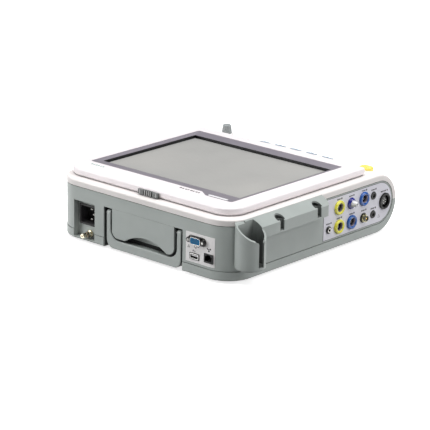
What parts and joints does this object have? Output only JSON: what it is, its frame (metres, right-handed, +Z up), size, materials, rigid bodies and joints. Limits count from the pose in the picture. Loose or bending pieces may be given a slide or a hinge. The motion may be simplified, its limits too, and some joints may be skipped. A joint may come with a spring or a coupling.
{
  "type": "patient monitor",
  "caption": "Flat bedside monitor: hollow body with a full-round nose, flip-up display, hanging rear handle, side probe rack, patient sockets and a front paper drawer.",
  "frame": {"origin": "centre of the footprint, the probe rack and the earthing stud included, on the plane the feet stand on", "axes": "+Z up, -Y towards the operator (nose and keys), +Y towards the carrying handle, -X towards the patient sockets"},
  "size_m": [0.349, 0.3665, 0.1004],
  "materials": {
    "white_plastic": "satin moulded",
    "grey_plastic": "fine spark texture",
    "panel_grey": "printed matt film",
    "plate_grey": "printed matt film",
    "bezel_violet": "satin",
    "black_plastic": "satin",
    "screen_glass": "anti-glare",
    "yellow_plastic": "gloss",
    "blue_plastic": "gloss",
    "navy_plastic": "gloss",
    "clear_plastic": "translucent",
    "key_plastic": "soft touch",
    "knob_plastic": "satin",
    "lamp_plastic": "translucent",
    "steel": "plated",
    "aluminium_sheet": "plain",
    "circuit_board": "solder mask",
    "foot_rubber": "matt",
    "roller_rubber": "ground",
    "chart_paper": "folded paper",
    "battery_case": "shrink sleeve"
  },
  "bodies": {
    "base": {"bottom_case": "grey_plastic", "mid_case": "grey_plastic", "top_case": "white_plastic", "probe_holder": "grey_plastic", "handle_panel": "grey_plastic", "socket_plate": "panel_grey", "connector_plate": "plate_grey", "battery_cover": "grey_plastic", "print_head": "aluminium_sheet", "recorder_motor": "steel", "mains_inlet": "black_plastic", "equipotential_stud": "steel", "vga_port": "blue_plastic", "usb_port": "steel", "network_port": "black_plastic", "ultrasound_socket_1": "yellow_plastic", "ultrasound_socket_2": "yellow_plastic", "contraction_socket": "blue_plastic", "oximeter_socket": "blue_plastic", "cuff_socket": "navy_plastic", "cuff_nozzle": "clear_plastic", "metal_socket": "steel", "temperature_jacks": "black_plastic", "ecg_socket": "black_plastic", "marker_jack": "black_plastic", "rubber_feet": "foot_rubber", "case_screws": "steel", "chassis_plate": "aluminium_sheet", "main_board": "circuit_board", "parameter_board": "circuit_board", "power_supply": "aluminium_sheet", "battery_pack": "battery_case", "speaker": "black_plastic", "cuff_pump": "steel", "alarm_lens": "lamp_plastic", "key_board": "circuit_board", "indicator_lenses": "clear_plastic", "knob_encoder": "black_plastic", "handle_pins": "steel"},
    "display": {"lid_front": "white_plastic", "lid_back": "white_plastic", "bezel_frame": "bezel_violet", "lcd_panel": "screen_glass", "display_board": "circuit_board", "hinge_pins": "steel"},
    "latch": {"latch_slider": "knob_plastic"},
    "handle": {"carry_handle": "grey_plastic"},
    "drawer": {"drawer_front": "grey_plastic", "paper_drawer": "black_plastic", "paper_pack": "chart_paper"},
    "roller": {"platen_roller": "roller_rubber"},
    "encoder": {"encoder_plunger": "steel"},
    "knob": {"knob": "knob_plastic"},
    "key_1": {"key_1": "key_plastic"},
    "key_2": {"key_2": "key_plastic"},
    "key_3": {"key_3": "key_plastic"},
    "key_4": {"key_4": "key_plastic"},
    "key_5": {"key_5": "key_plastic"}
  },
  "joints": [
    {"name": "display_tilt", "type": "hinge", "parent": "base", "child": "display", "pos_m": [0.0195, -0.113, 0.0915], "axis": [1, 0, 0], "range_deg": [0, 90]},
    {"name": "latch_slide", "type": "slide", "parent": "display", "child": "latch", "axis": [1, 0, 0], "range_m": [0, 0.005], "stiffness_N_per_m": 250},
    {"name": "handle_swing", "type": "hinge", "parent": "base", "child": "handle", "pos_m": [0.0115, 0.1684, 0.052], "axis": [1, 0, 0], "range_deg": [0, 90]},
    {"name": "drawer_slide", "type": "slide", "parent": "base", "child": "drawer", "axis": [0, -1, 0], "range_m": [0, 0.1]},
    {"name": "roller_spin", "type": "hinge", "parent": "drawer", "child": "roller", "pos_m": [0.01585, -0.1695, 0.0396], "axis": [1, 0, 0], "continuous": true},
    {"name": "knob_push", "type": "slide", "parent": "base", "child": "encoder", "axis": [0, 0, -1], "range_m": [0, 0.0008], "stiffness_N_per_m": 600},
    {"name": "knob_spin", "type": "hinge", "parent": "encoder", "child": "knob", "pos_m": [0.1445, -0.1415, 0.09], "axis": [0, 0, 1], "continuous": true},
    {"name": "key_1_press", "type": "slide", "parent": "base", "child": "key_1", "axis": [0, 0, -1], "range_m": [0, 0.0008], "stiffness_N_per_m": 500},
    {"name": "key_2_press", "type": "slide", "parent": "base", "child": "key_2", "axis": [0, 0, -1], "range_m": [0, 0.0008], "stiffness_N_per_m": 500},
    {"name": "key_3_press", "type": "slide", "parent": "base", "child": "key_3", "axis": [0, 0, -1], "range_m": [0, 0.0008], "stiffness_N_per_m": 500},
    {"name": "key_4_press", "type": "slide", "parent": "base", "child": "key_4", "axis": [0, 0, -1], "range_m": [0, 0.0008], "stiffness_N_per_m": 500},
    {"name": "key_5_press", "type": "slide", "parent": "base", "child": "key_5", "axis": [0, 0, -1], "range_m": [0, 0.0008], "stiffness_N_per_m": 500}
  ]
}
